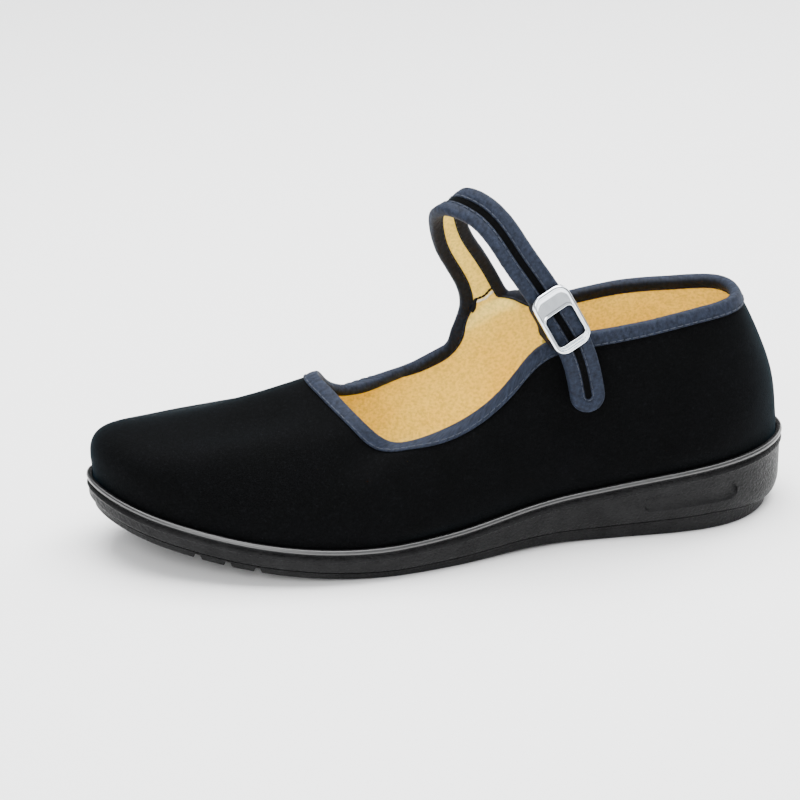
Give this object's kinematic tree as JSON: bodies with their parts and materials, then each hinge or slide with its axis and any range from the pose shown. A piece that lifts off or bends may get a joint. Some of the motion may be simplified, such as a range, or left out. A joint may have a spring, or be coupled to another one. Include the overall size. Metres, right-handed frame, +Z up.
{
  "type": "chinese cloth shoe",
  "caption": "Black velvet strap shoe for the left foot, with slate piping, tan leather lining, a polished slide buckle and a black moulded wedge sole",
  "frame": {"origin": "on the floor, under the middle of the shoe's box", "axes": "toe towards -X, heel towards +X, outer side of the foot with the buckle towards -Y, +Z up"},
  "size_m": [0.256, 0.0867, 0.1281],
  "materials": {
    "velvet": "cotton velvet with a short dense nap and a faint cool sheen",
    "piping": "folded woven binding, sewn near its lower edge",
    "lining_leather": "smooth tan leather with a fine grain",
    "sole_rubber": "moulded rubber, satin with a glossy bead",
    "buckle_metal": "polished plate"
  },
  "bodies": {
    "root": {"outsole": "sole_rubber", "insole": "lining_leather", "upper": "velvet", "collar_binding": "piping", "strap": "velvet", "strap_binding": "piping", "buckle": "buckle_metal", "buckle_tab": "lining_leather"}
  },
  "joints": []
}
